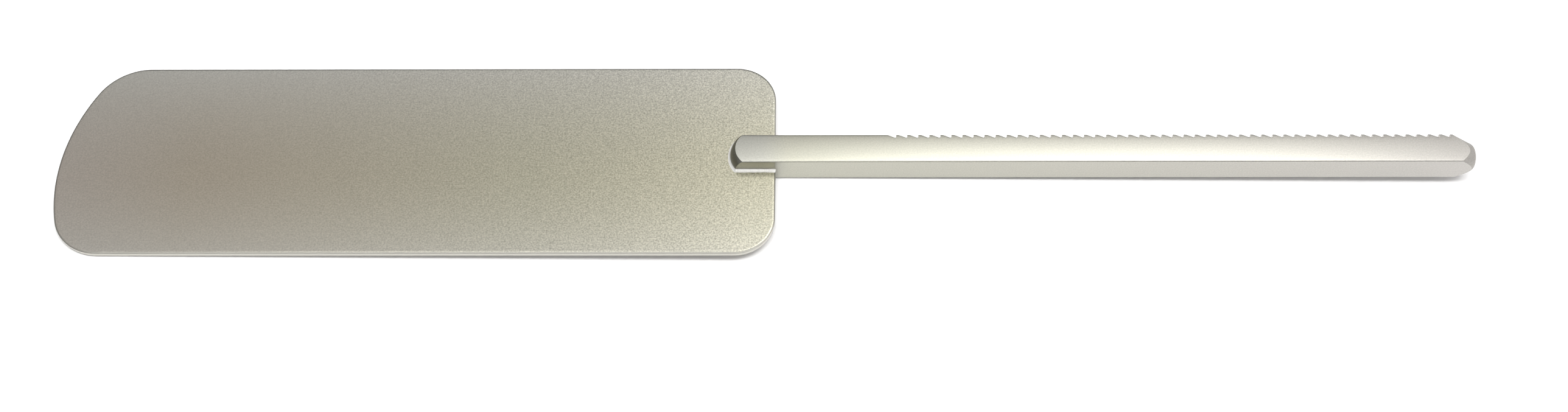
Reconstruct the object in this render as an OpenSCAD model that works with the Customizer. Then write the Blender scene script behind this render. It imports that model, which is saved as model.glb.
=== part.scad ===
// Malleable retractor: a flat bendable blade welded into the slit end of a square ratchet bar.
// X runs along the bar to its free end, Y across towards the teeth, Z up. The blade's straight end is
// at X = 0, the bar's axis lies over Y = 0 and its underside is on Z = 0.

/* [Blade] */
// Length of the blade from its straight end to its tip
blade_l = 166; // [100:1:260]
// Width of the blade
blade_w = 50; // [35:1:70]
// Thickness of the sheet
blade_t = 1.4; // [1:0.1:2.2]
// How far the blade's centreline lies to the plain side of the bar's axis
blade_shift = 0.3; // [0:0.1:1.5]
// Height of the blade's lower face over the bar's underside
blade_z = 2.1; // [1.5:0.1:3]
// Radius of the two corners at the bar's end
corner_r = 9.2; // [3:0.1:14]
// Radius of the wide arc that forms the tip
tip_r = 45.98; // [40:0.01:90]
// How far the centre of the tip's arc lies to the plain side of the blade's centreline
tip_shift = 3.52; // [0:0.01:6]
// Radius of the tip's corner on the toothed side
tip_far_r = 13; // [4:0.1:14]
// Radius of the tip's corner on the plain side
tip_near_r = 11.64; // [4:0.01:14]
// Rounding of the sheet's edges
edge_r = 0.3; // [0.1:0.05:0.45]

/* [Bar] */
// Side of the square bar
bar_s = 7.35; // [6.5:0.05:8]
// Length of the bar from the blade's straight end to its free end
bar_l = 160.6; // [150:0.1:220]
// How far the bar reaches over the blade, which is also the depth of its slit
bar_lap = 10.5; // [9:0.1:20]
// Radius of the dome turned on the slit end
dome_r = 5.8; // [5.7:0.1:8]
// Rounding of the bar's four long edges
arris_r = 0.25; // [0.1:0.05:0.6]
// Radius of the round nose at the free end
nose_r = 4.3; // [3.9:0.1:4.8]
// Angle of the free end's cone to the bar's axis
nose_angle = 27; // [20:1:40]
// How far the free end's cone is ground off the axis, to the plain side
nose_shift = 0.45; // [0:0.05:0.8]

/* [Teeth] */
// Number of teeth
tooth_n = 51; // [5:1:55]
// Distance from tooth to tooth
tooth_pitch = 2.54; // [2:0.01:2.9]
// Flat land left on each tooth
tooth_land = 0.6; // [0.2:0.05:0.8]
// Angle of the tooth's ramp to the bar
tooth_angle = 27; // [18:1:32]
// Rounding at the root of each tooth
tooth_root_r = 0.25; // [0.1:0.05:0.4]
// Distance from the last tooth's steep face to the bar's free end
tooth_end = 5.8; // [5:0.1:12]

/* [Weld] */
// Leg of the weld bead along the bar's sides
weld_leg = 0.7; // [0.4:0.05:1]
// Leg of the weld bead round the dome
weld_dome_leg = 0.5; // [0.3:0.05:0.8]
// Radius of the round crater where the upper run ends past the blade
crater_r = 0.5; // [0.3:0.05:0.8]

/* [Hidden] */
$fn = 96;
// Straight steps in a quarter turn of a rounded edge
edge_steps = 5;
// Straight steps in each arc of the blade's flat core, and in the round nose
core_steps = 16;
nose_steps = 9;
// Overshoot of every cut
over = 1;
// Width of the rounded rim round the blade, and how far it laps onto the flat core
rim_w = 2;
rim_lap = 1;
// How many times their length the rays that bound a round rim are drawn, to reach past it
ray_reach = 2;
half_w = blade_w / 2;
half_s = bar_s / 2;
blade_y = -blade_shift;
blade_top = blade_z + blade_t;
// Centre of the tip's arc
tip_c = [tip_r - blade_l, blade_y - tip_shift];
// Centre of the dome on the slit end
dome_x = dome_r - bar_lap;
// Centre of the round nose, and the place and radius at which the free end's cone clears the bar
nose_c = bar_l - nose_r;
cone_r = half_s * sqrt(2) + nose_shift + over;
cone_x = nose_c + (nose_r / cos(nose_angle) - cone_r) / tan(nose_angle);
// Length of each gap between two lands
tooth_gap = tooth_pitch - tooth_land;
tooth_start = bar_l - tooth_end - (tooth_n - 1) * tooth_pitch;
// Radius of the blobs at the bar's corners, a little proud of the straight runs
weld_proud = 0.04;
weld_corner_r = weld_leg + weld_proud;

// Points of an arc about c, from angle a0 to a1
function arc(c, r, a0, a1, n) =
    [for (i = [0:n]) let (a = a0 + (a1 - a0) * i / n) c + r * [cos(a), sin(a)]];

// Centre of the corner of radius r that touches one long edge of the blade and the tip's arc
function tip_corner(side, r) = let (
    y = blade_y + side * (half_w - r),
    x = tip_c.x - sqrt(pow(tip_r - r, 2) - pow(y - tip_c.y, 2))
) [x, y];

far_c = tip_corner(1, tip_far_r);
near_c = tip_corner(-1, tip_near_r);
far_end_c = [-corner_r, blade_y + half_w - corner_r];
near_end_c = [-corner_r, blade_y - half_w + corner_r];
// Directions of the two ends of the tip's arc from its centre
far_a = atan2(far_c.y - tip_c.y, far_c.x - tip_c.x);
near_a = 360 + atan2(near_c.y - tip_c.y, near_c.x - tip_c.x);

// Section of the sheet's rounded rim, with its edge at x = 0
module rim_section() {
    polygon(concat(
        [[-rim_w, 0]],
        arc([-edge_r, edge_r], edge_r, -90, 0, edge_steps),
        arc([-edge_r, blade_t - edge_r], edge_r, 0, 90, edge_steps),
        [[-rim_w, blade_t]]
    ));
}

// Round rim of radius r about c, from the ray that points along p to the ray that points along q
module round_rim(c, r, p, q) {
    translate(c)
        intersection() {
            rotate_extrude()
                translate([r, 0])
                    rim_section();
            translate([0, 0, -over])
                linear_extrude(height = blade_t + 2 * over)
                    polygon([[0, 0], ray_reach * p, ray_reach * q]);
        }
}

// Straight rim of length l from point p in direction a, with the outside on its left
module straight_rim(p, l, a) {
    translate(p)
        rotate([0, 0, a])
            rotate([90, 0, 90])
                linear_extrude(height = l)
                    rim_section();
}

// Flat middle of the sheet, which the rim laps onto
module blade_core() {
    linear_extrude(height = blade_t)
        polygon(concat(
            arc(near_end_c, corner_r - rim_lap, -90, 0, core_steps),
            arc(far_end_c, corner_r - rim_lap, 0, 90, core_steps),
            arc(far_c, tip_far_r - rim_lap, 90, far_a, core_steps),
            arc(tip_c, tip_r - rim_lap, far_a, near_a, core_steps),
            arc(near_c, tip_near_r - rim_lap, near_a, 270, core_steps)
        ));
}

module blade() {
    color([0.66, 0.65, 0.6])
        translate([0, 0, blade_z]) {
            blade_core();
            round_rim(near_end_c, corner_r, [0, -half_w], [half_w, 0]);
            round_rim(far_end_c, corner_r, [half_w, 0], [0, half_w]);
            round_rim(far_c, tip_far_r, [0, half_w], far_c - tip_c);
            round_rim(tip_c, tip_r, far_c - tip_c, near_c - tip_c);
            round_rim(near_c, tip_near_r, near_c - tip_c, [0, -half_w]);
            straight_rim([far_c.x, blade_y + half_w], -corner_r - far_c.x, 0);
            straight_rim([0, far_end_c.y], blade_w - 2 * corner_r, -90);
            straight_rim([-corner_r, blade_y - half_w], -corner_r - near_c.x, 180);
        }
}

// Everything outside the dome that is turned on the slit end
module dome_waste() {
    difference() {
        translate([-bar_lap - over, -bar_s, -half_s])
            cube([dome_r + over, 2 * bar_s, 2 * bar_s]);
        translate([dome_x, 0, half_s])
            sphere(r = dome_r);
    }
}

// Everything outside the blunt cone and round nose that are ground on the free end
module nose_waste() {
    base = cone_x - over - nose_c;
    difference() {
        translate([cone_x, -bar_s, -half_s])
            cube([bar_l + over - cone_x, 2 * bar_s, 2 * bar_s]);
        translate([nose_c, -nose_shift, half_s])
            rotate([0, 90, 0])
                rotate_extrude()
                    polygon(concat(
                        [[0, base], [cone_r + over * tan(nose_angle), base]],
                        arc([0, 0], nose_r, nose_angle, 90, nose_steps)
                    ));
    }
}

// Square bar with rounded arrises and both ends turned, before it is slit and toothed
module bar_blank() {
    difference() {
        translate([-bar_lap, 0, 0])
            rotate([90, 0, 90])
                linear_extrude(height = bar_lap + bar_l)
                    polygon(concat(
                        arc([half_s - arris_r, arris_r], arris_r, -90, 0, edge_steps),
                        arc([half_s - arris_r, bar_s - arris_r], arris_r, 0, 90, edge_steps),
                        arc([arris_r - half_s, bar_s - arris_r], arris_r, 90, 180, edge_steps),
                        arc([arris_r - half_s, arris_r], arris_r, 180, 270, edge_steps)
                    ));
        dome_waste();
        nose_waste();
    }
}

// Gap before a tooth whose steep face is at X = 0: a ramp that falls to a rounded root at the steep face
module tooth_waste() {
    root_y = tooth_root_r / cos(tooth_angle) - (tooth_gap - tooth_root_r) * tan(tooth_angle);
    translate([0, half_s, -over])
        linear_extrude(height = bar_s + 2 * over)
            polygon(concat(
                [[-tooth_gap - over / tan(tooth_angle), over]],
                arc([-tooth_root_r, root_y], tooth_root_r, 270 - tooth_angle, 360, edge_steps),
                [[0, over]]
            ));
}

module ratchet_bar() {
    color([0.78, 0.78, 0.74])
        difference() {
            bar_blank();
            translate([-bar_lap - over, -bar_s, blade_z])
                cube([bar_lap + over, 2 * bar_s, blade_t]);
            for (i = [0:tooth_n - 1])
                translate([tooth_start + i * tooth_pitch, 0, 0])
                    tooth_waste();
        }
}

// Round run of weld metal along the line where the bar's outline meets a face of the blade at height z
module weld_run(z) {
    path_r = sqrt(pow(dome_r, 2) - pow(z - half_s, 2));
    corner_a = asin(half_s / path_r);
    corner_x = dome_x - path_r * cos(corner_a);
    for (side = [-1, 1])
        translate([corner_x, side * half_s, z]) {
            sphere(r = weld_corner_r);
            rotate([0, 90, 0])
                cylinder(h = -corner_x, r = weld_leg);
        }
    translate([dome_x, 0, z])
        rotate([0, 0, 180 - corner_a])
            rotate_extrude(angle = 2 * corner_a)
                translate([path_r, 0])
                    circle(r = weld_dome_leg);
}

// Block over the blade's part of the plan, from height z0 to z1
module weld_zone(z0, z1) {
    translate([-bar_lap - bar_s, -bar_s, z0])
        cube([bar_lap + bar_s, 2 * bar_s, z1 - z0]);
}

module weld_bead_top() {
    color([0.9, 0.9, 0.85])
        difference() {
            union() {
                weld_run(blade_top);
                translate([crater_r / 2, -half_s, blade_top])
                    sphere(r = crater_r);
            }
            bar_blank();
            weld_zone(blade_top - bar_s, blade_top);
        }
}

module weld_bead_under() {
    color([0.9, 0.9, 0.85])
        difference() {
            weld_run(blade_z);
            bar_blank();
            weld_zone(blade_z, blade_z + bar_s);
        }
}

blade();
ratchet_bar();
weld_bead_top();
weld_bead_under();
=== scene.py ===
"""A malleable retractor: its blade, toothed bar and weld beads in finished metal, on a plain white table."""

import math

import bpy
import numpy as np
from mathutils import Matrix, Vector, noise


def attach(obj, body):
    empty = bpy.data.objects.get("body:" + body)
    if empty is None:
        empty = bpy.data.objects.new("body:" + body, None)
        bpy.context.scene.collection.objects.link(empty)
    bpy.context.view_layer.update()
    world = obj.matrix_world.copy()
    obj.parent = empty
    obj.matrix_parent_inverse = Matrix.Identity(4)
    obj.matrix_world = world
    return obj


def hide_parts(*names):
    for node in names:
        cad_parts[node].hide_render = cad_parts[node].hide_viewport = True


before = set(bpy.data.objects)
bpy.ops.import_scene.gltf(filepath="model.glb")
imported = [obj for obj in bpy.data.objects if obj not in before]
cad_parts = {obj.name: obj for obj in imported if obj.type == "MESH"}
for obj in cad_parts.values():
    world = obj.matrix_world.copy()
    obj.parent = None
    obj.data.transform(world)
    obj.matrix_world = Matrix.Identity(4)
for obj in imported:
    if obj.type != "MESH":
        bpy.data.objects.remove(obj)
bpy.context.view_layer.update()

MM = 0.001

# Blade, in millimetres, as in the part's source
BLADE_L = 166.0
BLADE_W = 50.0
BLADE_T = 1.4
BLADE_Y = -0.3
BLADE_Z = 2.1
BLADE_TOP = BLADE_Z + BLADE_T
CORNER_R = 9.2
TIP_R = 45.98
TIP_SHIFT = 3.52
TIP_FAR_R = 13.0
TIP_NEAR_R = 11.64
EDGE_R = 0.3
# How far in from the edge its rounding starts, drawn out by hand grinding
EDGE_RUN = 0.6

# Bar, in millimetres, as in the part's source
BAR_S = 7.35
BAR_L = 160.6
BAR_LAP = 10.5
DOME_R = 5.8
ARRIS_R = 0.25
NOSE_R = 4.3
NOSE_ANGLE = math.radians(27)
NOSE_SHIFT = 0.45
# The nose is a little blunter than in the part's source: a flatter cap with a rounded corner to the cone
CAP_R = 8.0
CAP_CORNER_R = 1.5
TOOTH_N = 51
TOOTH_PITCH = 2.54
TOOTH_LAND = 0.6
TOOTH_ANGLE = math.radians(27)
TOOTH_ROOT_R = 0.25
TOOTH_END = 5.8

# Weld beads, in millimetres
BEAD_STEP = 0.07
# Leg of the bead against its outward direction in degrees, from the bar's toothed side round the dome
BEAD_TURNS = [-270, -220, -180, -140, -90]
BEAD_LEGS = [0.66, 0.60, 0.50, 0.58, 0.58]
# How hollow the bead's section is at each, from 0 for a quarter round to 1 for a full cove
BEAD_HOLLOWS = [0.0, 0.6, 0.6, 0.6, 0.2]
CRATER_R = 0.5
CRATER_BULGE = 0.5

HALF_W = BLADE_W / 2
HALF_S = BAR_S / 2
DOME_X = DOME_R - BAR_LAP
NOSE_X = BAR_L - NOSE_R

# How far the polished faces of the bar fall away from their middle to their edges, in millimetres,
# evenly and close to the edges
TOP_CROWN = 0.08
TOP_ROLL = 0.03
SIDE_CROWN = 0.012
# Deburred edge of the tooth ramps, and the length over which a steep face stands up
TOOTH_EDGE_R = 0.09
STEEP_RUN = 0.02


def arc(centre, radius, start, end, steps):
    """Points of an arc, angles in radians."""
    turns = [start + (end - start) * i / steps for i in range(steps + 1)]
    return [(centre[0] + radius * math.cos(t), centre[1] + radius * math.sin(t)) for t in turns]


def mesh_object(name, vertices, faces, smooth_angle=None):
    """A mesh from vertices in millimetres, smooth shaded up to an angle between faces."""
    mesh = bpy.data.meshes.new(name)
    mesh.from_pydata([(x * MM, y * MM, z * MM) for x, y, z in vertices], [], faces)
    mesh.validate()
    mesh.shade_smooth()
    if smooth_angle is not None:
        mesh.set_sharp_from_angle(angle=smooth_angle)
    piece = bpy.data.objects.new(name, mesh)
    bpy.context.collection.objects.link(piece)
    return piece


def ring_faces(rings, count, caps=True):
    """Quads between neighbouring rings of count points, with a flat face on each end."""
    faces = []
    for j in range(rings - 1):
        for i in range(count):
            k = (i + 1) % count
            faces.append((j * count + i, j * count + k, (j + 1) * count + k, (j + 1) * count + i))
    if caps:
        faces.append(tuple(reversed(range(count))))
        faces.append(tuple((rings - 1) * count + i for i in range(count)))
    return faces


def tip_corner(side, radius):
    """Centre of the tip's corner on one side, where it touches the long edge and the tip's arc."""
    tip_x, tip_y = TIP_R - BLADE_L, BLADE_Y - TIP_SHIFT
    y = BLADE_Y + side * (HALF_W - radius)
    return tip_x - math.sqrt((TIP_R - radius) ** 2 - (y - tip_y) ** 2), y


def blade_outline(inset):
    """The blade's outline, taken in by a distance."""
    steps = 40
    tip = (TIP_R - BLADE_L, BLADE_Y - TIP_SHIFT)
    far, near = tip_corner(1, TIP_FAR_R), tip_corner(-1, TIP_NEAR_R)
    far_a = math.atan2(far[1] - tip[1], far[0] - tip[0])
    near_a = math.atan2(near[1] - tip[1], near[0] - tip[0]) + 2 * math.pi
    step = (near_a - far_a) / steps
    quarter = math.pi / 2
    return (
        arc((-CORNER_R, BLADE_Y - HALF_W + CORNER_R), CORNER_R - inset, -quarter, 0, steps)
        + arc((-CORNER_R, BLADE_Y + HALF_W - CORNER_R), CORNER_R - inset, 0, quarter, steps)
        + arc(far, TIP_FAR_R - inset, quarter, far_a, steps)
        + arc(tip, TIP_R - inset, far_a + step, near_a - step, steps - 2)
        + arc(near, TIP_NEAR_R - inset, near_a, 3 * quarter, steps)
    )


def make_blade():
    """The flat sheet with its rounded edge."""
    flat_insets = [0.7, 1.2, 3.0, 8.0]
    edge_steps = 9
    turns = np.linspace(0, math.pi / 2, edge_steps + 1)
    rounding = [(EDGE_RUN * (1 - math.cos(t)), EDGE_R * (1 - math.sin(t))) for t in turns]
    levels = [(d, 0.0) for d in reversed(flat_insets)]
    levels += reversed(rounding)
    levels += [(d, BLADE_T - z) for d, z in rounding]
    levels += [(d, BLADE_T) for d in flat_insets]
    vertices = []
    for inset, height in levels:
        ring = blade_outline(inset)
        vertices += [(x, y, BLADE_Z + height) for x, y in ring]
    return mesh_object("blade_sheet", vertices, ring_faces(len(levels), len(ring)))


def tooth_stations():
    """Stations along the bar with the height of its toothed side at each."""
    gap = TOOTH_PITCH - TOOTH_LAND
    root_y = TOOTH_ROOT_R / math.cos(TOOTH_ANGLE) - (gap - TOOTH_ROOT_R) * math.tan(TOOTH_ANGLE)
    start = BAR_L - TOOTH_END - (TOOTH_N - 1) * TOOTH_PITCH
    stations = []
    for i in range(TOOTH_N):
        steep = start + i * TOOTH_PITCH
        stations.append((steep - gap - 0.05, HALF_S))
        stations.append((steep - gap, HALF_S - 0.012))
        stations.append((steep - gap + 0.06, HALF_S - 0.06 * math.tan(TOOTH_ANGLE)))
        root = arc((steep - TOOTH_ROOT_R, HALF_S + root_y), TOOTH_ROOT_R, 1.5 * math.pi - TOOTH_ANGLE, 2 * math.pi, 8)
        stations += root
        stations.append((steep + STEEP_RUN / 2, HALF_S - 0.03))
        stations.append((steep + 2 * STEEP_RUN, HALF_S))
    return stations


def bar_stations():
    """All stations along the bar, past both ends."""
    over = 1.0
    teeth = tooth_stations()
    plain = [(x, HALF_S) for x in np.linspace(-BAR_LAP - over, teeth[0][0] - 0.5, 8)]
    end = [(x, HALF_S) for x in np.linspace(teeth[-1][0] + 0.5, BAR_L + over, 5)]
    return plain + teeth + end


def bar_section(side_y):
    """Rounded square about the bar's axis, with its toothed side at side_y."""
    corner_steps, flat_steps, side_steps = 6, 26, 8
    depth = min(1.0, (HALF_S - side_y) / ARRIS_R)
    tooth_r = ARRIS_R + (TOOTH_EDGE_R - ARRIS_R) * depth
    quarter = math.pi / 2
    corners = [
        arc((side_y - tooth_r, HALF_S - tooth_r), tooth_r, 0, quarter, corner_steps),
        arc((ARRIS_R - HALF_S, HALF_S - ARRIS_R), ARRIS_R, quarter, 2 * quarter, corner_steps),
        arc((ARRIS_R - HALF_S, ARRIS_R - HALF_S), ARRIS_R, 2 * quarter, 3 * quarter, corner_steps),
        arc((side_y - tooth_r, tooth_r - HALF_S), tooth_r, 3 * quarter, 4 * quarter, corner_steps),
    ]
    points = []
    for corner, following, steps in zip(corners, corners[1:] + corners[:1], [flat_steps, side_steps] * 2):
        points += corner
        (y0, z0), (y1, z1) = corner[-1], following[0]
        points += [(y0 + (y1 - y0) * i / steps, z0 + (z1 - z0) * i / steps) for i in range(1, steps)]
    return points


def crowned(y, z):
    """The point moved in to the slight crown of the polished faces."""
    across, up = y / HALF_S, z / HALF_S
    return (
        y * (1 - SIDE_CROWN / HALF_S * up**2),
        z * (1 - (TOP_CROWN * across**2 + TOP_ROLL * across**8) / HALF_S),
    )


def lathe(name, profile, centre_y):
    """A solid of revolution about a line along X at half the bar's height, from places and radii."""
    turns = np.linspace(0, 2 * math.pi, 128, endpoint=False)
    vertices = [(x, centre_y + r * math.cos(t), HALF_S + r * math.sin(t)) for x, r in profile for t in turns]
    return mesh_object(name, vertices, ring_faces(len(profile), len(turns)))


def dome_body():
    """Everything inside the dome that is turned on the slit end."""
    turns = np.radians(np.linspace(1, 90, 60))
    profile = [(DOME_X - DOME_R * math.cos(t), DOME_R * math.sin(t)) for t in turns]
    return lathe("dome_body", profile + [(BAR_L + 2, DOME_R)], 0)


def nose_body():
    """Everything inside the blunt cone and round nose that are ground on the free end."""
    wide = HALF_S * math.sqrt(2) + NOSE_SHIFT + 1
    cone_x = NOSE_X + (NOSE_R / math.cos(NOSE_ANGLE) - wide) / math.tan(NOSE_ANGLE)
    slope = math.tan(NOSE_ANGLE)
    cap_x = BAR_L - CAP_R
    reach = CAP_R - CAP_CORNER_R
    level = wide - (cap_x - cone_x) * slope - CAP_CORNER_R / math.cos(NOSE_ANGLE)
    inner = level * slope + math.sqrt(reach**2 * (1 + slope**2) - level**2)
    along = inner / (1 + slope**2)
    corner = (cap_x + along, level - along * slope)
    meeting = math.acos((corner[0] - cap_x) / reach)
    profile = arc(corner, CAP_CORNER_R, math.pi / 2 - NOSE_ANGLE, meeting, 24)
    profile += arc((cap_x, 0), CAP_R, meeting, 0.002, 24)[1:]
    return lathe("nose_body", [(-BAR_LAP - 2, wide), (cone_x, wide)] + profile, -NOSE_SHIFT)


def slit_body():
    """The slit that straddles the blade."""
    section = [(-BAR_S, BLADE_Z), (BAR_S, BLADE_Z), (BAR_S, BLADE_TOP), (-BAR_S, BLADE_TOP)]
    vertices = [(x, y, z) for x in (-BAR_LAP - 2, 0) for y, z in section]
    return mesh_object("slit_body", vertices, ring_faces(2, len(section)))


def combine(piece, tool, operation):
    """Applies an exact Boolean with a tool, which is used up."""
    change = piece.modifiers.new(tool.name, "BOOLEAN")
    change.operation = operation
    change.solver = "EXACT"
    change.object = tool
    depsgraph = bpy.context.evaluated_depsgraph_get()
    changed = bpy.data.meshes.new_from_object(piece.evaluated_get(depsgraph))
    piece.modifiers.clear()
    piece.data = changed
    bpy.data.objects.remove(tool)


def make_bar():
    """The square bar: crowned polished faces, dome, round nose, ratchet teeth and slit."""
    vertices = []
    stations = bar_stations()
    for x, side_y in stations:
        ring = [crowned(y, z) for y, z in bar_section(side_y)]
        vertices += [(x, y, z + HALF_S) for y, z in ring]
    bar = mesh_object("toothed_bar", vertices, ring_faces(len(stations), len(ring)))
    combine(bar, dome_body(), "INTERSECT")
    combine(bar, nose_body(), "INTERSECT")
    combine(bar, slit_body(), "DIFFERENCE")
    bar.data.shade_smooth()
    bar.data.set_sharp_from_angle(angle=math.radians(20))
    return bar


def bead_path(height):
    """Places along the bar's outline on the blade, near side first, with the outward direction at each."""
    path_r = math.sqrt(DOME_R**2 - (height - HALF_S) ** 2)
    corner_a = math.asin(HALF_S / path_r)
    corner_x = DOME_X - path_r * math.cos(corner_a)
    run = np.linspace(0, corner_x, int(-corner_x / BEAD_STEP) + 1)
    bend = np.linspace(math.pi / 2, math.pi - corner_a, 11)[1:-1]
    dome = np.linspace(corner_a - math.pi, -corner_a - math.pi, int(2 * corner_a * path_r / BEAD_STEP) + 1)
    near = [(x, -HALF_S, -math.pi / 2) for x in run] + [(corner_x, -HALF_S, -turn) for turn in bend]
    round_end = [(DOME_X + path_r * math.cos(turn), path_r * math.sin(turn), turn) for turn in dome]
    far = [(x, -y, -2 * math.pi - turn) for x, y, turn in reversed(near)]
    return near + round_end + far


def make_bead(height, up, seed):
    """A run of weld metal in the corner between the bar and one face of the blade."""
    profile_steps = 9
    ripple_pitch, ripple, wander = 0.42, 0.05, 0.14
    vertices = []
    travelled, last = 0.0, None
    places = bead_path(height)
    for x, y, turn in places:
        if last is not None:
            travelled += math.hypot(x - last[0], y - last[1])
        last = (x, y)
        rough = noise.noise(Vector((x * 1.3, y * 1.3, seed)))
        fine = noise.noise(Vector((x * 5.0, y * 5.0, seed + 7)))
        scallop = abs(math.sin(math.pi * travelled / ripple_pitch + 2 * rough))
        leg = np.interp(math.degrees(turn), BEAD_TURNS, BEAD_LEGS)
        hollow = np.interp(math.degrees(turn), BEAD_TURNS, BEAD_HOLLOWS)
        reach = leg * (1 + wander * rough + ripple * fine - ripple * (1 - scallop))
        out = Vector((math.cos(turn), math.sin(turn)))
        ring = [(0.0, 0.0)]
        for i in range(profile_steps + 1):
            a = math.pi / 2 * i / profile_steps
            away = (1 - hollow) * math.cos(a) + hollow * (1 - math.sin(a))
            rise = (1 - hollow) * math.sin(a) + hollow * (1 - math.cos(a))
            ring.append((reach * away, reach * rise))
        for away, rise in ring:
            vertices.append((x + out.x * away, y + out.y * away, height + up * rise))
    count = profile_steps + 2
    faces = ring_faces(len(places), count)
    if up < 0:
        faces = [tuple(reversed(f)) for f in faces]
    return vertices, faces


def make_crater():
    """The small flattened ball in which the upper run ends just past the blade."""
    rows, columns = 14, 22
    vertices = []
    for j in range(rows):
        tilt = math.pi * (j + 0.5) / rows
        away, rise = CRATER_R * math.sin(tilt), CRATER_R * math.cos(tilt)
        for i in range(columns):
            turn = 2 * math.pi * i / columns
            x = CRATER_R / 2 + away * math.cos(turn)
            y = min(-HALF_S + CRATER_BULGE * away * math.sin(turn), -HALF_S)
            z = BLADE_TOP + (max(rise, 0) if x < 0 else rise)
            vertices.append((x, y, z))
    return vertices, [tuple(reversed(f)) for f in ring_faces(rows, columns)]


def mark_toe(bead, heights):
    """Stores how high each vertex of a bead lies over the blade, for the painted shade in the bead's material."""
    rise = bead.data.attributes.new("rise", "FLOAT", "POINT")
    rise.data.foreach_set("value", heights)


def make_beads():
    """Both weld beads."""
    vertices, faces = make_bead(BLADE_TOP, 1, 3.0)
    ball_vertices, ball_faces = make_crater()
    faces += [tuple(i + len(vertices) for i in f) for f in ball_faces]
    top = mesh_object("weld_run_top", vertices + ball_vertices, faces, math.radians(50))
    mark_toe(top, [v[2] - BLADE_TOP for v in vertices] + [0.3] * len(ball_vertices))
    vertices, faces = make_bead(BLADE_Z, -1, 11.0)
    under = mesh_object("weld_run_under", vertices, faces, math.radians(50))
    mark_toe(under, [BLADE_Z - v[2] for v in vertices])
    return top, under


class Nodes:
    """Short calls for building one material's node tree."""

    def __init__(self, name):
        self.material = bpy.data.materials.new(name)
        self.material.use_nodes = True
        self.tree = self.material.node_tree
        self.shader = self.tree.nodes["Principled BSDF"]

    def link(self, source, target):
        self.tree.links.new(source, target)

    def add(self, kind, **settings):
        node = self.tree.nodes.new(kind)
        for key, value in settings.items():
            setattr(node, key, value)
        return node

    def position(self, stretch=(1, 1, 1)):
        """The point's place on the object in millimetres, stretched along the axes."""
        place = self.add("ShaderNodeTexCoord")
        scale = self.add("ShaderNodeVectorMath", operation="MULTIPLY")
        scale.inputs[1].default_value = [s / MM for s in stretch]
        self.link(place.outputs["Object"], scale.inputs[0])
        return scale.outputs[0]

    def noise(self, place, scale, detail=2.0, roughness=0.5, distortion=0.0):
        node = self.add("ShaderNodeTexNoise")
        node.inputs["Distortion"].default_value = distortion
        node.inputs["Scale"].default_value = scale
        node.inputs["Detail"].default_value = detail
        node.inputs["Roughness"].default_value = roughness
        self.link(place, node.inputs["Vector"])
        return node.outputs["Fac"]

    def along_across_up(self):
        """The point's X, Y and Z on the object in millimetres."""
        split = self.add("ShaderNodeSeparateXYZ")
        self.link(self.position(), split.inputs[0])
        return split.outputs["X"], split.outputs["Y"], split.outputs["Z"]

    def facing(self):
        """The surface's normal along X, Y and Z."""
        split = self.add("ShaderNodeSeparateXYZ")
        self.link(self.add("ShaderNodeNewGeometry").outputs["Normal"], split.inputs[0])
        return split.outputs[0], split.outputs[1], split.outputs[2]

    def math(self, operation, a, b=0.0):
        node = self.add("ShaderNodeMath", operation=operation)
        self.plug(a, node.inputs[0])
        self.plug(b, node.inputs[1])
        return node.outputs[0]

    def remap(self, value, low, high, to_low, to_high):
        node = self.add("ShaderNodeMapRange")
        for key, number in zip(("From Min", "From Max", "To Min", "To Max"), (low, high, to_low, to_high)):
            node.inputs[key].default_value = number
        self.link(value, node.inputs["Value"])
        return node.outputs["Result"]

    def blend(self, factor, a, b, mode="MIX"):
        node = self.add("ShaderNodeMix", data_type="RGBA", blend_type=mode)
        self.plug(factor, node.inputs["Factor"])
        self.plug(a, node.inputs["A"], "RGBA")
        self.plug(b, node.inputs["B"], "RGBA")
        return self.result(node)

    def plug(self, value, target, kind=None):
        if kind == "RGBA":
            target = [s for s in target.node.inputs if s.name == target.name and s.type == "RGBA"][0]
        if isinstance(value, bpy.types.NodeSocket):
            self.link(value, target)
        elif kind == "RGBA":
            target.default_value = (*value, 1)
        else:
            target.default_value = value

    def result(self, node):
        return [s for s in node.outputs if s.type == "RGBA"][0]

    def bump(self, height, distance, strength, normal=None):
        node = self.add("ShaderNodeBump")
        node.inputs["Strength"].default_value = strength
        node.inputs["Distance"].default_value = distance * MM
        self.link(height, node.inputs["Height"])
        if normal is not None:
            self.link(normal, node.inputs["Normal"])
        return node.outputs["Normal"]


def metal(name):
    nodes = Nodes(name)
    nodes.shader.inputs["Metallic"].default_value = 1.0
    return nodes


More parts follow.
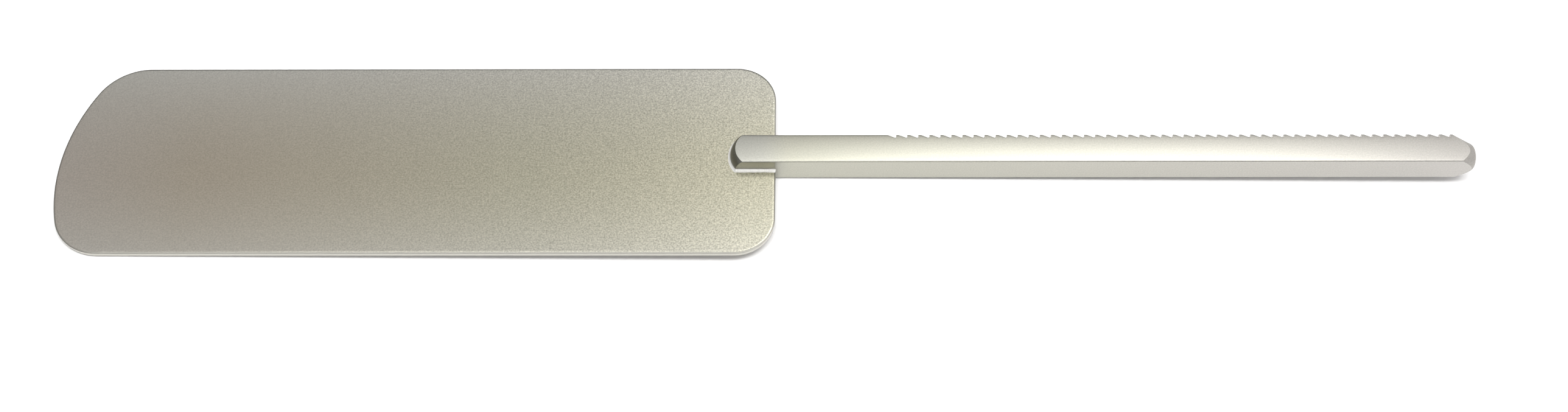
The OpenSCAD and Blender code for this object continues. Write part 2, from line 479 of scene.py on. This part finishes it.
def blade_steel():
    """Bead-blasted sheet: a fine even grain, a little brushed, with painted reflection that makes it paler along the
    edges and tip and lighter to the right, and a painted highlight and painted shade on its rounded edge.
    """
    m = metal("blade_steel")
    grain = m.noise(m.position(), 2.8, 0.6, 0.5, 0.25)
    brushed = m.noise(m.position((0.06, 3.2, 3.2)), 1.0, 2.0, 0.6)
    along, across, _ = m.along_across_up()
    # Painted reflection: the sheet is painted paler towards its long edges, more so towards the tip, standing in for
    # the room it mirrors.
    side = m.math("ABSOLUTE", m.math("DIVIDE", m.math("SUBTRACT", across, BLADE_Y - 4.0), HALF_W))
    painted_edge_sheen = m.math("MULTIPLY", m.math("POWER", side, 1.7), m.remap(along, -BLADE_L, 0.0, 0.85, 0.6))
    # Painted reflection: the colour is painted lighter towards the blade's right end and paler near its tip.
    painted_reflection_field = m.blend(m.remap(along, -130.0, -60.0, 0.0, 1.0), (0.445, 0.402, 0.325), (0.455, 0.440, 0.342))
    tip = m.blend(m.remap(along, -BLADE_L, -135.0, 0.8, 0.0), painted_reflection_field, (0.49, 0.455, 0.41))
    painted_sheen_colour = m.blend(painted_edge_sheen, tip, (0.56, 0.555, 0.51))
    depth = m.remap(along, -120.0, -10.0, 0.4, 1.1)
    speckle = m.math("ADD", m.math("MULTIPLY", m.math("SUBTRACT", grain, 0.5), depth), 1.0)
    colour_and_painted_light = m.blend(1.0, painted_sheen_colour, speckle, "MULTIPLY")
    scuffs = m.remap(m.noise(m.position((1.4, 2.4, 1.0)), 1.0, 1.0, 0.5, 0.4), 0.64, 0.74, 0.0, 0.7)
    beside_edge = m.math("MULTIPLY", m.remap(along, -2.0, -1.4, 0.0, 1.0), m.remap(across, 8.0, 10.0, 0.0, 1.0))
    beside_edge = m.math("MULTIPLY", beside_edge, m.remap(across, 15.0, 18.0, 1.0, 0.0))
    colour_and_painted_light = m.blend(m.math("MULTIPLY", scuffs, beside_edge), colour_and_painted_light, (0.85, 0.84, 0.78))
    # Painted highlight and painted shade: the rounded edge is painted lighter where it faces the near side and darker
    # where it turns away.
    rounded = m.remap(m.math("ABSOLUTE", m.facing()[2]), 0.99, 0.9, 0.0, 1.0)
    turned_away = m.remap(m.facing()[1], -0.3, 0.1, 0.0, 1.0)
    rounding = m.blend(turned_away, (0.53, 0.52, 0.47), (0.3, 0.3, 0.27))
    m.link(m.blend(rounded, colour_and_painted_light, rounding), m.shader.inputs["Base Color"])
    m.link(m.remap(grain, 0.2, 0.8, 0.29, 0.35), m.shader.inputs["Roughness"])
    normal = m.bump(grain, 0.006, 0.3)
    normal = m.bump(brushed, 0.006, 0.3, normal)
    m.link(normal, m.shader.inputs["Normal"])
    return m.material


def bar_steel():
    """Satin bar, brushed lengthwise, with painted shade on its side just above the blade."""
    m = metal("bar_steel")
    grain = m.noise(m.position(), 3.0, 0.6, 0.5, 0.25)
    brushed = m.noise(m.position((0.12, 4.0, 4.0)), 1.0, 2.5, 0.6)
    speckle = m.remap(grain, 0.25, 0.75, 0.93, 1.07)
    streak = m.remap(brushed, 0.25, 0.75, 0.985, 1.015)
    along, _, up = m.along_across_up()
    tone = m.blend(m.remap(along, 0.0, BAR_L, 0.0, 1.0), (0.455, 0.452, 0.385), (0.47, 0.455, 0.43))
    tone = m.blend(m.remap(along, -3.0, 3.0, 0.0, 1.0), (0.43, 0.43, 0.39), tone)
    # Painted shade: the bar's side over the blade is darkened nearest the blade, fading out by 5.4 mm up and just
    # past the blade's end.
    shade = m.math("MULTIPLY", m.remap(along, -0.5, 0.2, 1.0, 0.0), m.remap(up, 4.2, 5.4, 0.35, 0.0))
    tone = m.blend(shade, tone, (0.1, 0.1, 0.1))
    colour_and_painted_light = m.blend(1.0, tone, speckle, "MULTIPLY")
    colour_and_painted_light = m.blend(1.0, colour_and_painted_light, streak, "MULTIPLY")
    m.link(colour_and_painted_light, m.shader.inputs["Base Color"])
    turned = m.math("MULTIPLY", m.remap(m.facing()[0], 0.1, 0.4, 0.0, 0.3),
                    m.remap(along, BAR_L - 6.0, BAR_L - 5.5, 0.0, 1.0))
    polish = m.remap(brushed, 0.2, 0.8, 0.27, 0.31)
    m.link(m.math("ADD", polish, turned), m.shader.inputs["Roughness"])
    m.link(m.bump(grain, 0.004, 0.3), m.shader.inputs["Normal"])
    return m.material


def weld_metal():
    """Weld metal with a fine uneven skin, partly its own bright metal and partly a painted highlight in near white,
    with painted shade higher up the bar's side.
    """
    m = metal("weld_metal")
    skin = m.noise(m.position(), 5.0, 2.0, 0.6)
    # Painted highlight: the weld is painted near white, brighter than steel, standing in for the light it catches;
    # the skin varies it.
    bright_and_painted_highlight = m.blend(m.remap(skin, 0.35, 0.65, 0.0, 1.0), (0.93, 0.93, 0.89), (1.0, 1.0, 0.97))
    rise = m.add("ShaderNodeAttribute", attribute_name="rise").outputs["Fac"]
    # Painted shade: the run is painted greyer as it rises up the bar's side.
    shaded = m.blend(m.remap(rise, 0.3, 0.7, 0.0, 1.0), bright_and_painted_highlight, (0.75, 0.74, 0.72))
    colour_and_painted_light = m.blend(m.remap(m.along_across_up()[0], -0.1, 0.2, 0.0, 1.0), shaded, (0.45, 0.445, 0.40))
    m.shader.inputs["Metallic"].default_value = 0.5
    m.link(colour_and_painted_light, m.shader.inputs["Base Color"])
    m.link(m.remap(skin, 0.3, 0.7, 0.6, 0.8), m.shader.inputs["Roughness"])
    m.link(m.bump(skin, 0.02, 0.4), m.shader.inputs["Normal"])
    return m.material


def table_white():
    """White table. Rays from the camera and off the metal see it part way to pure white."""
    m = Nodes("table_white")
    tree = m.tree
    out = tree.nodes["Material Output"]
    tree.nodes.remove(m.shader)
    diffuse = m.add("ShaderNodeBsdfDiffuse")
    diffuse.inputs["Color"].default_value = (0.93, 0.93, 0.93, 1)
    glow = m.add("ShaderNodeEmission")
    glow.inputs["Color"].default_value = (1, 1, 1, 1)
    rays = m.add("ShaderNodeLightPath").outputs
    seen = m.add("ShaderNodeMath", operation="MAXIMUM")
    m.link(rays["Is Camera Ray"], seen.inputs[0])
    m.link(rays["Is Glossy Ray"], seen.inputs[1])
    seen_too = m.add("ShaderNodeMath", operation="MAXIMUM")
    m.link(seen.outputs[0], seen_too.inputs[0])
    m.link(rays["Is Transmission Ray"], seen_too.inputs[1])
    share = m.add("ShaderNodeMath", operation="MULTIPLY")
    share.inputs[1].default_value = 0.03
    m.link(seen_too.outputs[0], share.inputs[0])
    mix = m.add("ShaderNodeMixShader")
    m.link(share.outputs[0], mix.inputs[0])
    m.link(diffuse.outputs[0], mix.inputs[1])
    m.link(glow.outputs[0], mix.inputs[2])
    m.link(mix.outputs[0], out.inputs["Surface"])
    return m.material


def make_floor():
    """The table top, which touches the blade's tip and the bar's heel."""
    heel_x = DOME_X - math.sqrt(DOME_R**2 - HALF_S**2)
    tip_x, tip_z = EDGE_RUN - BLADE_L, BLADE_Z
    slope = tip_z / (tip_x - heel_x)
    half = 4500.0
    corners = [(-half, -half), (half, -half), (half, half), (-half, half)]
    clear = 0.005
    vertices = [(x, y, slope * (x - heel_x) - clear) for x, y in corners]
    floor = mesh_object("table_top", vertices, [(0, 1, 2, 3)])
    floor.data.materials.append(table_white())
    return floor


def make_world():
    """A soft room: dim towards the horizon, brighter overhead and to the free end's side."""
    world = bpy.data.worlds.new("room")
    bpy.context.scene.world = world
    world.use_nodes = True
    tree = world.node_tree
    back = tree.nodes["Background"]
    place = tree.nodes.new("ShaderNodeTexCoord")
    split = tree.nodes.new("ShaderNodeSeparateXYZ")
    tree.links.new(place.outputs["Generated"], split.inputs[0])
    height = tree.nodes.new("ShaderNodeMapRange")
    height.inputs["From Min"].default_value = 0.1
    height.inputs["From Max"].default_value = 0.8
    height.inputs["To Min"].default_value = 0.05
    height.inputs["To Max"].default_value = 0.64
    tree.links.new(split.outputs["Z"], height.inputs["Value"])
    side = tree.nodes.new("ShaderNodeMapRange")
    side.interpolation_type = "SMOOTHSTEP"
    side.inputs["From Min"].default_value = 0.2
    side.inputs["From Max"].default_value = 0.8
    side.inputs["To Min"].default_value = 0.0
    side.inputs["To Max"].default_value = 0.7
    tree.links.new(split.outputs["X"], side.inputs["Value"])
    total = tree.nodes.new("ShaderNodeMath")
    tree.links.new(height.outputs["Result"], total.inputs[0])
    tree.links.new(side.outputs["Result"], total.inputs[1])
    tree.links.new(total.outputs[0], back.inputs["Strength"])
    back.inputs["Color"].default_value = (1.0, 0.98, 0.98, 1)


def area_light(name, place, target, width, depth, radiance, colour=(1, 1, 1)):
    """A rectangular soft light of a given radiance."""
    data = bpy.data.lights.new(name, "AREA")
    data.shape = "RECTANGLE"
    data.size, data.size_y = width, depth
    data.energy = radiance * math.pi * width * depth
    data.color = colour
    lamp = bpy.data.objects.new(name, data)
    lamp.location = place
    lamp.rotation_euler = (Vector(place) - Vector(target)).to_track_quat("Z", "Y").to_euler()
    bpy.context.collection.objects.link(lamp)
    return lamp


def make_lights():
    """A ceiling light that the metal doesn't mirror, and three panels for its reflections alone."""
    ceiling = area_light("ceiling_strip", (0.10, -0.08, 0.95), (0.10, -0.08, 0.0), 0.9, 0.32, 9.6)
    ceiling.visible_glossy = False
    front = area_light("front_strip", (0.0, -0.54, 0.85), (0.0, 0.0, 0.0), 1.2, 0.20, 2.6)
    ridge = area_light("ridge_strip", (0.10, 0.20, 0.92), (0.10, 0.20, 0.0), 1.1, 0.10, 3.5)
    back = area_light("back_panel", (0.23, 0.40, 0.9), (0.23, 0.40, 0.0), 0.46, 0.26, 3.7, (1.0, 1.0, 0.97))
    for panel in (front, ridge, back):
        panel.visible_diffuse = False


def make_camera():
    """The photograph's camera, fitted in the part's own frame."""
    azimuth, elevation, roll = map(math.radians, (-1.27, 60.23, -1.14))
    distance, target = 407.3, Vector((1.97, -11.12, 0.0))
    frame_px, focal_px, sensor = 2576, 2912, 36.0
    forward = Vector((
        math.sin(azimuth) * math.cos(elevation),
        math.cos(azimuth) * math.cos(elevation),
        -math.sin(elevation),
    ))
    level = Vector((math.cos(azimuth), -math.sin(azimuth), 0))
    upright = level.cross(forward)
    right = level * math.cos(roll) + upright * math.sin(roll)
    up = upright * math.cos(roll) - level * math.sin(roll)
    data = bpy.data.cameras.new("camera")
    data.sensor_fit = "HORIZONTAL"
    data.sensor_width = sensor
    data.lens = sensor * focal_px / frame_px
    data.clip_start, data.clip_end = 0.01, 20
    camera = bpy.data.objects.new("camera", data)
    pose = Matrix((right, up, -forward)).transposed().to_4x4()
    pose.translation = (target - forward * distance) * MM
    camera.matrix_world = pose
    bpy.context.collection.objects.link(camera)
    bpy.context.scene.camera = camera


def dress(piece, node, material):
    """Puts a finished piece in the place of its CAD node."""
    piece.data.materials.clear()
    piece.data.materials.append(material)
    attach(piece, "root")
    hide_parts(node)


dress(make_blade(), "blade", blade_steel())
dress(make_bar(), "ratchet_bar", bar_steel())
bead_metal = weld_metal()
bead_top, bead_under = make_beads()
dress(bead_top, "weld_bead_top", bead_metal)
dress(bead_under, "weld_bead_under", bead_metal)
make_floor()
make_world()
make_lights()
make_camera()
bpy.context.scene.view_settings.view_transform = "Standard"
